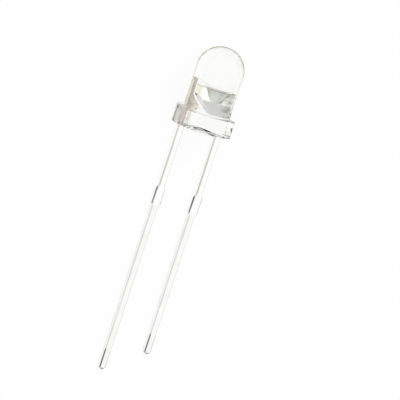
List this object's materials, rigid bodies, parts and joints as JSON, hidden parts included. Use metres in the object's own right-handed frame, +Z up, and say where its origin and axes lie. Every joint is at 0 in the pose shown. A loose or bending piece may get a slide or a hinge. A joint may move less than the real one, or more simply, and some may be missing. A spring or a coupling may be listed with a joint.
{
  "type": "through-hole LED",
  "caption": "Clear round light-emitting diode with a domed lens, a flange with one flat, and two straight leads of unequal length with standoffs.",
  "frame": {"origin": "middle of the laid part's box, on the surface that it rests on", "axes": "+Y the way the dome points, seen from above; +Z up; -X the side of the longer anode lead, +X the side of the flat and the cathode. The lens axis rises 6.3 degrees from the surface, and the part is rolled 4.0 degrees about it, as it rests on the flange's rim and both lead ends"},
  "size_m": [0.0036, 0.0212, 0.0039],
  "materials": {
    "clear_epoxy": "water-clear cast epoxy, glossy outside",
    "plated_lead_frame": "bright plating over stamped steel sheet",
    "chip": "polished crystal",
    "die_adhesive": "cured clear adhesive",
    "gold_wire": "bright drawn gold"
  },
  "bodies": {
    "root": {"lens": "clear_epoxy", "anode_lead": "plated_lead_frame", "cathode_lead": "plated_lead_frame", "led_chip": "chip", "die_attach": "die_adhesive", "anode_wire": "gold_wire", "cathode_wire": "gold_wire"}
  },
  "joints": []
}
